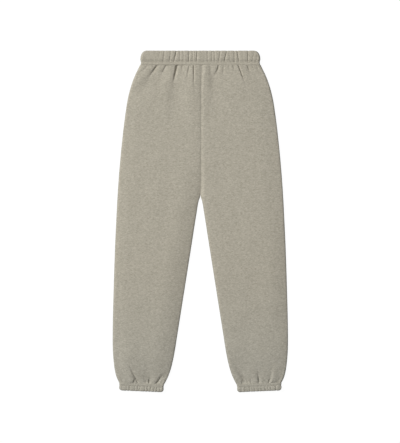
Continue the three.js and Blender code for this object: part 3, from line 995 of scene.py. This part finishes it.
@dataclass(frozen=True)
class Gather:
    """A gather of a casing: at is its trough's place and lean how far it drifts to the stitching.

    middle is where it is deepest, from -0.5 at the fold to 0.5 at the stitching, and short
    gathers have a small extent.
    """

    at: float
    lean: float
    depth: float
    middle: float = 0.0
    extent: float = 0.9


WAISTBAND_GATHERS = (
    Gather(-134, -6, 0.3), Gather(-121.5, -9, 0.5), Gather(-107, -5, 1.1), Gather(-88.4, -5, 1.3, 0.15, 0.6),
    Gather(-73.8, -8, 2.3, -0.1, 0.55), Gather(-60, -1, 0.9), Gather(-49.5, 0, 1.1, 0.25, 0.5),
    Gather(-33.6, -3, 2.0, 0.1, 0.6), Gather(-23, 0, 1.3), Gather(-16, 0, 0.6, -0.2, 0.5),
    Gather(-10.3, -3, 2.0, 0.05, 0.7), Gather(2, 0, 0.3), Gather(12, 0, 0.5), Gather(21.3, 0, 1.2),
    Gather(33.6, 0, 0.9), Gather(41.5, 1, 1.2), Gather(56, -5, 1.4), Gather(73.5, -8, 2.0, -0.1, 0.7),
    Gather(85.8, 0, 0.5), Gather(99.6, 1, 1.5), Gather(110.5, 5, 2.1, 0.05, 0.7), Gather(123, 0, 0.5),
    Gather(139, -1, 1.9, 0.0, 0.45), Gather(154.5, -6, 0.8, 0.1, 0.6), Gather(166, -6, 0.6),
)
# On the cuffs, at runs to the viewer's left, because they hang with the fold down
CUFF_GATHERS = {
    Side.RIGHT: (
        Gather(55, 2, 0.78), Gather(42.7, 0, 1.37), Gather(34.3, 1, 1.76), Gather(25, 0, 0.49),
        Gather(19, 0, 1.17), Gather(10, 0, 1.27), Gather(4, -1, 0.88), Gather(-10.2, 0, 1.27),
        Gather(-18.7, 1, 1.85), Gather(-27.8, 0, 1.37), Gather(-38, -1, 1.27), Gather(-46.3, 0, 1.37),
        Gather(-54.8, -1, 0.88),
    ),
    Side.LEFT: (
        Gather(51.4, 0, 0.84), Gather(41.1, 1, 1.1), Gather(34.4, 2, 1.01), Gather(27.6, 2, 1.59),
        Gather(20, 2, 0.58), Gather(12.7, 4, 1.18), Gather(2.5, 3, 1.1), Gather(-6.6, 2, 1.1),
        Gather(-17.7, 3, 1.51), Gather(-25.9, 2, 1.01), Gather(-34.4, 1, 0.76), Gather(-48.8, 1, 1.18),
        Gather(-59.6, 2, 1.1),
    ),
}


@dataclass(frozen=True)
class Placement:
    """Where a casing's own frame lies: a point in millimetres and a turn about Z."""

    x: float
    y: float
    turn: float

    def place(self, points: Array) -> Array:
        """Turns and moves points from the casing's frame to the garment's."""
        c, s = math.cos(self.turn), math.sin(self.turn)
        moved = points.copy()
        moved[..., 0] = self.x + c * points[..., 0] - s * points[..., 1]
        moved[..., 1] = self.y + s * points[..., 0] + c * points[..., 1]
        return moved


# The needle's puckers and the swell beside a gather, over the casing's gather width
PUCKER_SPACING = 3.4
PUCKER_WIDTH = 0.8
SWELL_WIDTH = 2.8
TURN_LEVELS = (0.75, 1.0)  # how level the cloth lies where the gathers start, and where they are whole


@dataclass(frozen=True)
class Casing:
    """Fleece folded over an elastic into a gathered ring, with a stitched flange at its seam.

    In its own frame x runs across, y from the seam to the folded edge and z up. Stations go
    round it: the front from left to right, a turn, the back and a turn. share is the place
    across from -1 to 1, and angle is the direction in which the cloth faces.
    """

    node: str
    sides: Profile
    depth: float
    layer: float  # thickness of fleece, elastic and fleece
    stitch: float  # folded edge to the upper line of stitching
    flange: float
    pinch: float
    gathers: tuple[Gather, ...]
    gather_width: float
    placement: Placement
    finish: bpy.types.Material
    front_stations: int
    back_stations: int
    seed: int
    fold: float = 5.0  # distance from the folded edge at which it has its full thickness
    turn_stations: int = 14
    fold_steps: int = 9
    inner_steps: int = 5
    free_share: float = 0.7  # share of the width that the rounded corners don't squeeze
    row_step: float = 1.25
    puff: float = 0.7  # how far the elastic's part swells between fold and stitching
    flange_puff: float = 0.55  # how far the cloth swells between the two rows of stitching
    scallop: float = 0.42  # share of a gather's depth that shows in the folded edge
    back_press: float = 0.45  # share of a gather's depth that the side lying underneath keeps
    shoulder: float = 11.0  # stretch over which the elastic's part slopes down to the flange
    row_groove: float = 0.2  # depth to which the stitching sinks
    row_groove_width: float = 0.9
    gather_ease: float = 1.25  # cut width over the relaxed one
    stitch_rows: tuple[float, ...] = ()
    held_reach: float = 0.8  # stretch before the stitching in which gathers end, over that of the fold
    gather_ends: float = 0.35  # share of a gather's depth that it has away from its middle
    gather_swell: float = 0.25  # share of its depth by which the cloth sinks on its left
    turned_share: float = 0.25  # share of the gathers that shows on the turns at the sides
    pucker_places: tuple[float, float] = (0.15, 0.85)
    pucker_reaches: tuple[float, float] = (3.0, 7.0)
    pucker_depths: tuple[float, float] = (0.1, 0.5)
    pucker_gap: float = 2.0  # how far before the stitching they are deepest
    scallop_reach: float = 4.0
    ridge_width: float = 0.28  # of the swelling on the flange, over the flange's depth

    @property
    def straight(self) -> float:
        """Half the straight width between the ring's two turns, at its seam."""
        return float(self.sides.values[-1, 0]) - self.layer - CASING_SLACK

    def stations(self) -> tuple[Array, Array]:
        """The share and angle of each station round the ring."""
        def run(count: int) -> Array:
            return np.arange(count) / count

        front, turn, back = run(self.front_stations), run(self.turn_stations), run(self.back_stations)
        share = np.concatenate([2 * front - 1, np.ones_like(turn), 1 - 2 * back, -np.ones_like(turn)])
        angle = np.concatenate([
            np.full_like(front, QUARTER_TURN),
            QUARTER_TURN - math.pi * turn,
            np.full_like(back, -QUARTER_TURN),
            -QUARTER_TURN - math.pi * turn,
        ])
        to_back = len(turn) + len(back) // 2  # the ring's join lies in the middle of the back
        return np.roll(share, to_back), np.roll(angle, to_back)

    def loop(self) -> tuple[Array, Array]:
        """The distances from the folded edge round the wall's section, and which are inside it.

        Returns:
            Distances from the folded edge, from the seam over the outer face to the fold and
            back on the inner face, and 0 on the outer or 1 on the inner face for each.
        """
        steps = max(2, round((self.depth - self.fold) / self.row_step))
        level = self.depth - (self.depth - self.fold) * np.arange(steps) / steps
        turned = QUARTER_TURN * np.arange(self.fold_steps, -1, -1) / self.fold_steps
        round_fold = self.fold * (1 - np.cos(turned))
        inner_fold = round_fold[-2::-1][::2]  # half as many points, because little of it shows
        inner = np.linspace(self.fold, self.depth, self.inner_steps + 1)[1:]
        away = np.concatenate([level, round_fold, inner_fold, inner])
        inward = np.zeros_like(away)
        inward[len(level) + len(round_fold):] = 1
        return away, inward

    def gather_drop(self, x: Array, away: Array, facing: Array) -> Array:
        """How far gathers and small puckers lower the outer face.

        Args:
            x: Place across.
            away: Distance from the folded edge.
            facing: 1 on the front, 0 on the side that lies underneath.

        Returns:
            The drop in millimetres.
        """
        held = smooth((self.stitch - away) / (self.held_reach * self.fold))
        along = away / self.stitch - 0.5
        total = np.zeros_like(x)
        mirrored = np.where(facing > 0.5, x, -x)
        for gather in self.gathers:
            offset = mirrored - gather.at - gather.lean * along
            middle = bell((along - gather.middle) / gather.extent)
            depth = gather.depth * lerp(self.gather_ends, 1.0, middle)
            total = total + depth * furrow(offset, self.gather_width)
            swell = bell((offset + self.gather_width) / (SWELL_WIDTH * self.gather_width))
            total = total + self.gather_swell * depth * swell
        random = np.random.default_rng(self.seed)
        half = float(self.sides.values[-1, 0])
        puckers = round(2 * half / (PUCKER_SPACING * self.gather_width))
        for i in range(puckers):
            at = -half + (i + random.uniform(*self.pucker_places)) * 2 * half / puckers
            reach = random.uniform(*self.pucker_reaches)
            depth = random.uniform(*self.pucker_depths)
            near = bell((self.stitch - away - self.pucker_gap) / reach)
            total = total + depth * near * bell((mirrored - at) / (PUCKER_WIDTH * self.gather_width))
        return total * held * lerp(self.back_press, 1.0, facing)

    def rounded(self, away: Array) -> Array:
        """The quarter circle in which the cloth turns over: 0 at the folded edge, 1 beyond the fold."""
        return np.sqrt(1 - (1 - np.minimum(away / self.fold, 1)) ** 2)

    def thickness(self, away: Array, facing: Array) -> Array:
        """The thickness of one layer of the ring.

        Args:
            away: Distance from the folded edge.
            facing: 1 on the front, 0 on the side that lies underneath.

        Returns:
            Thickness in millimetres, without gathers.
        """
        full = self.layer / 2 * (1 + self.rounded(away))
        to_flange = smooth((away - self.stitch + self.shoulder) / self.shoulder)
        pinched = self.pinch * bell((away - self.stitch) / (self.fold / 2))
        swell = self.puff * np.sin(math.pi * np.clip(away / self.stitch, 0, 1))
        flange_depth = self.depth - self.stitch
        from_middle = away - self.stitch - flange_depth / 2
        ridge = self.flange_puff * bell(from_middle / (self.ridge_width * flange_depth))
        front = lerp(full + swell, self.flange, to_flange) - pinched + ridge
        grooves = sum(bell((away - row) / self.row_groove_width) for row in self.stitch_rows)
        return lerp(full, front, facing) - self.row_groove * grooves

    def point(self, share: Array, angle: Array, away: Array, inward: Array) -> Array:
        """A point of the ring in its own frame.

        Args:
            share: Place across.
            angle: Direction in which the cloth faces.
            away: Distance from the folded edge.
            inward: 0 on the outer face, 1 on the inner one.

        Returns:
            Points in millimetres.
        """
        facing = (1 + np.sin(angle)) / 2
        half = self.sides.read(away)["half"]
        fold = self.rounded(away)
        base = half - self.layer / 2 * (1 + fold) - CASING_SLACK
        free = self.free_share * self.straight
        nominal = np.abs(share) * self.straight
        squeezed = free + (nominal - free) * (base - free) / (self.straight - free)
        x = np.sign(share) * np.where(nominal <= free, nominal, squeezed)
        drop = self.gather_drop(x, away, facing)
        level = rise(np.abs(np.sin(angle)), *TURN_LEVELS)
        outer = self.thickness(away, facing) - drop * lerp(self.turned_share, 1.0, level)
        reach = lerp(outer, self.layer / 2 * (1 - fold), inward) + CASING_SLACK
        middle = self.layer + CASING_SLACK
        edge = self.scallop * drop * bell(away / self.scallop_reach)
        return np.stack([
            x + reach * np.cos(angle),
            self.depth - away - edge,
            middle + reach * np.sin(angle),
        ], axis=-1)

    def build(self) -> bpy.types.Object:
        """Builds the ring from a grid of stations and section whose opposite edges are joined."""
        share, angle = (np.append(row, row[0]) for row in self.stations())
        away, inward = (np.append(row, row[0]) for row in self.loop())
        deselect_all()
        bpy.ops.mesh.primitive_grid_add(x_subdivisions=len(share) - 1, y_subdivisions=len(away) - 1, size=1)
        piece = bpy.context.object
        piece.name = piece.data.name = f"{self.node}_cloth"
        grid = [a.ravel() for a in np.meshgrid(share, away)]
        turned = [a.ravel() for a in np.meshgrid(angle, inward)]
        points = self.point(grid[0], turned[0], grid[1], turned[1])
        set_points(piece.data, self.placement.place(points) * MM)
        # the front and the back are apart in the heather by as much as the turn between them is long
        patch = PATCH_STEP * self.seed + self.layer * np.arcsin(np.sin(turned[0]))
        over = np.repeat(self.over_fold(away, inward), len(share))
        cloth = np.stack([grid[0] * self.straight, over, patch], axis=-1)
        write_cloth(piece.data, cloth * MM)
        with editing(piece):
            bpy.ops.mesh.remove_doubles(threshold=WELD)
            bpy.ops.mesh.normals_make_consistent(inside=False)
        return piece

    def around(self, share: Array, angle: Array) -> Array:
        """The distance round the ring at each station, half way along its depth."""
        middle = np.full_like(share, self.depth / 2)
        return run_along(self.point(share, angle, middle, np.zeros_like(share)))

    def over_fold(self, away: Array, inward: Array) -> Array:
        """The distance over the cloth from the folded edge, negative on the inner face."""
        run = run_along(self.point(np.zeros_like(away), np.full_like(away, QUARTER_TURN), away, inward))
        return run[np.argmin(away)] - run

    def cut(self) -> tuple[float, float]:
        """The cut of the face that shows, all round: width and length in metres."""
        share, angle = (np.append(row, row[0]) for row in self.stations())
        return float(self.around(share, angle)[-1]) * self.gather_ease * MM, self.depth * MM

    def dress(self, stitching: "Stitching") -> list[bpy.types.Object]:
        """Builds the casing and its stitching.

        Args:
            stitching: The kind of seam stitch.

        Returns:
            The casing and the rows of stitches.
        """
        piece = self.build()
        finish_piece(piece, self.node, self.finish)
        rows = stitching.sew(self)
        self.cut()
        return [piece, rows]


@dataclass(frozen=True)
class Stitching:
    """Rows of twin-needle topstitch: short stitches of thick thread, half sunk in the cloth."""

    finish: bpy.types.Material
    pitch: float = 3.2
    length: float = 2.5
    width: float = 0.62
    height: float = 0.42
    sunk: float = 0.05
    sample: float = 0.8  # step in which the direction of sewing is measured
    beside: float = 0.5  # step across the seam in which the cloth's slope is measured
    segments: int = 8
    rings: int = 5

    def one(self) -> tuple[Array, list[tuple[int, ...]]]:
        """One stitch, modelled once: its points in millimetres and its faces."""
        deselect_all()
        bpy.ops.mesh.primitive_uv_sphere_add(segments=self.segments, ring_count=self.rings, radius=0.5)
        piece = bpy.context.object
        with editing(piece):
            bpy.ops.transform.resize(value=(self.length, self.width, self.height))
        points = points_of(piece.data)
        faces = [tuple(face.vertices) for face in piece.data.polygons]
        bpy.data.objects.remove(piece, do_unlink=True)
        return points, faces

    def seats(self, casing: Casing, row: float) -> tuple[Array, Array, Array]:
        """Where the stitches of one row sit on a casing.

        Args:
            casing: The casing that is sewn.
            row: Distance of the row from the folded edge.

        Returns:
            Middles, directions of sewing and outward normals, one for each stitch.
        """
        share, angle = (np.append(row, row[0]) for row in casing.stations())
        away = np.full_like(share, row)
        outer = np.zeros_like(share)
        line = casing.point(share, angle, away, outer)
        beside = casing.point(share, angle, away - self.beside, outer)
        run = run_along(line)
        count = round(run[-1] / self.pitch)
        places = (np.arange(count) + 0.5) * run[-1] / count

        def at(where: Array, points: Array) -> Array:
            return np.stack([np.interp(where % run[-1], run, points[:, k]) for k in range(3)], axis=1)

        middles = at(places, line)
        ahead = at(places + self.sample, line) - at(places - self.sample, line)
        ahead /= np.linalg.norm(ahead, axis=1, keepdims=True)
        up = np.cross(ahead, at(places, beside) - middles)
        up /= np.linalg.norm(up, axis=1, keepdims=True)
        return middles, ahead, up

    def sew(self, casing: Casing) -> bpy.types.Object:
        """Sews every row of a casing, as one mesh.

        Args:
            casing: The casing that is sewn.

        Returns:
            The stitches.
        """
        stitch, faces = self.one()
        points, all_faces = [], []
        for row in casing.stitch_rows:
            middles, ahead, up = self.seats(casing, row)
            beside = np.cross(up, ahead)
            for middle, a, b, c in zip(middles, ahead, beside, up):
                first = len(points) * len(stitch)
                turned = stitch @ np.stack([a, b, c])
                points.append(middle + c * self.sunk + turned)
                all_faces.extend(tuple(first + k for k in face) for face in faces)
        mesh = bpy.data.meshes.new(f"{casing.node}_stitches")
        placed = casing.placement.place(np.concatenate(points))
        mesh.from_pydata((placed * MM).tolist(), [], all_faces)
        piece = bpy.data.objects.new(mesh.name, mesh)
        bpy.context.scene.collection.objects.link(piece)
        finish_piece(piece, None, self.finish)
        return piece


@dataclass(frozen=True)
class Sweatpants:
    """The whole garment: it knows which pieces there are and where the casings lie."""

    fleece: bpy.types.Material
    thread: bpy.types.Material

    def panels(self) -> list[LegPanel]:
        """The four leg panels, the two that lie underneath with a coarser grid."""
        fronts = [LegPanel(side, Layer.FRONT, self.fleece) for side in Side]
        backs = [
            LegPanel(side, Layer.BACK, self.fleece, columns=54, row_step=9.0, waist_cuts=1, ankle_cuts=1)
            for side in Side
        ]
        return fronts + backs

    def waistband(self) -> Casing:
        """The waistband, whose folded edge is the garment's top."""
        return Casing(
            node="waistband", sides=WAISTBAND_SIDES, depth=WAISTBAND_DEPTH, layer=6.5, stitch=35.2,
            flange=4.2, pinch=0.1, gathers=WAISTBAND_GATHERS, gather_width=1.8,
            placement=Placement(0, LENGTH / 2 - WAISTBAND_DEPTH, 0), finish=self.fleece,
            front_stations=460, back_stations=150, seed=5, stitch_rows=(35.0, 40.2),
        )

    def cuff(self, side: Side) -> Casing:
        """A cuff, which hangs fold down from the leg's last section, square to it."""
        end = {name: float(value) for name, value in LEG.read(np.array(PANEL_END)).items()}
        slope = math.atan2(end["tilt"], end["outer"] - end["inner"])
        middle = side.value * (end["outer"] + end["inner"]) / 2
        seam = LENGTH / 2 - PANEL_END - end["tilt"] / 2
        return Casing(
            node=f"cuff_{side.name.lower()}", sides=CUFF_SIDES, depth=CUFF_DEPTH, layer=5.4, stitch=15.6,
            flange=4.4, pinch=0.05, gathers=CUFF_GATHERS[side], gather_width=1.4, fold=3.6,
            placement=Placement(middle, seam, math.pi + side.value * slope),
            finish=self.fleece, front_stations=190, back_stations=70, seed=12 + side.value,
            row_step=1.0, fold_steps=7, turn_stations=12, puff=0.15, flange_puff=0.35, shoulder=6.0,
            stitch_rows=(16.0, 22.2),
        )

    def dress(self) -> list[bpy.types.Object]:
        """Builds and finishes every piece."""
        stitching = Stitching(self.thread)
        made = [panel.dress() for panel in self.panels()]
        for casing in (self.waistband(), *(self.cuff(side) for side in Side)):
            made.extend(casing.dress(stitching))
        return made


@dataclass(frozen=True)
class Studio:
    """A white board, a soft key light from the left, a bright room and a camera straight above."""

    frame_px: tuple[int, int] = (400, 443)
    garment_px: float = 341.5  # its length in the frame
    axis_px: float = 200.35  # its middle line
    middle_px: float = 221.5  # the middle of its length
    lens_mm: float = 110.0
    sensor_mm: float = 36.0
    far_clip: float = 100.0
    room: float = 0.15
    room_colour: str = "#f2faff"
    key_watts: float = 470.0
    key_colour: str = "#fdfdfa"
    key_place: tuple[float, float, float] = (-5.0, 2.9, 4.2)
    key_size: float = 2.3
    fill_watts: float = 20.0
    fill_colour: str = "#ffffff"
    fill_place: tuple[float, float, float] = (4.0, -0.2, 0.5)
    fill_size: float = 0.8
    top_watts: float = 7.3
    top_colour: str = "#fffaf5"
    top_place: tuple[float, float, float] = (0.15, 0.1, 1.75)
    top_size: float = 0.9
    board_colour: str = "#505050"
    board_glow: float = 0.96
    board_gap: float = 0.2 * MM  # keeps the board's face apart from the cloth's
    board_size: float = 24.0
    board_roughness: float = 0.9

    def camera(self) -> None:
        """Places the camera straight above, so that the garment fills its part of the frame."""
        metres_per_px = LENGTH * MM / self.garment_px
        deselect_all()
        bpy.ops.object.camera_add()
        camera = bpy.context.object
        camera.data.lens = self.lens_mm
        camera.data.sensor_width = self.sensor_mm
        camera.data.clip_end = self.far_clip
        height = self.frame_px[1] * metres_per_px * self.lens_mm / self.sensor_mm
        top = (cad_high.z + cad_low.z) / 2
        camera.location = (
            (self.frame_px[0] / 2 - self.axis_px) * metres_per_px,
            (self.middle_px - self.frame_px[1] / 2) * metres_per_px,
            top + height,
        )
        bpy.context.scene.camera = camera

    def floor(self) -> None:
        """Lays a white light board, whose own even glow drowns the garment's shadow."""
        deselect_all()
        bpy.ops.mesh.primitive_plane_add(size=self.board_size, location=(0, 0, cad_low.z - self.board_gap))
        piece = bpy.context.object
        piece.name = "floor"
        material, _, shader = new_material("opal_light_board")  # white acrylic, lit evenly from within
        set_inputs(shader, {
            "Base Color": linear(self.board_colour), "Roughness": self.board_roughness,
            "Specular IOR Level": 0.0, "Emission Color": (1, 1, 1, 1), "Emission Strength": self.board_glow})
        piece.data.materials.append(material)
        piece.visible_diffuse = piece.visible_glossy = False  # it throws no light back on the edges

    def lamp(
        self, name: str, place: tuple[float, float, float], size: float, watts: float, colour: str
    ) -> None:
        """Hangs a square soft light that faces the garment.

        Args:
            name: What the light is called.
            place: Where it hangs.
            size: The length of its sides.
            watts: Its power.
            colour: Its colour.
        """
        deselect_all()
        bpy.ops.object.light_add(type="AREA", location=place)
        lamp = bpy.context.object
        lamp.name = name
        lamp.data.size = size
        lamp.data.energy = watts
        lamp.data.color = linear(colour)[:3]
        lamp.rotation_euler = (-lamp.location).to_track_quat("-Z", "Y").to_euler()

    def lights(self) -> None:
        """Sets the room's even light, a large key from the left, a weak fill and a soft top light."""
        world = bpy.context.scene.world or bpy.data.worlds.new("studio")
        bpy.context.scene.world = world
        world.use_nodes = True
        sky = world.node_tree.nodes["Background"]
        sky.inputs["Color"].default_value = linear(self.room_colour)
        sky.inputs["Strength"].default_value = self.room
        self.lamp("key", self.key_place, self.key_size, self.key_watts, self.key_colour)
        self.lamp("fill", self.fill_place, self.fill_size, self.fill_watts, self.fill_colour)
        self.lamp("top", self.top_place, self.top_size, self.top_watts, self.top_colour)

    def build(self) -> None:
        """Builds the studio with an even, unstyled view transform."""
        self.camera()
        self.floor()
        self.lights()
        bpy.context.scene.view_settings.view_transform = "Standard"


def main() -> None:
    """Dresses the garment and its studio, and reports each piece."""
    logging.basicConfig(level=logging.INFO, format="%(name)s: %(message)s")
    LOG.info("frame of %d nodes", len(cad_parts))
    Studio().build()
    garment = Sweatpants(FleeceFinish().material(), ThreadFinish().material())
    pieces = garment.dress()
    LOG.info("%d pieces", len(pieces))


if __name__ == "__main__":
    main()
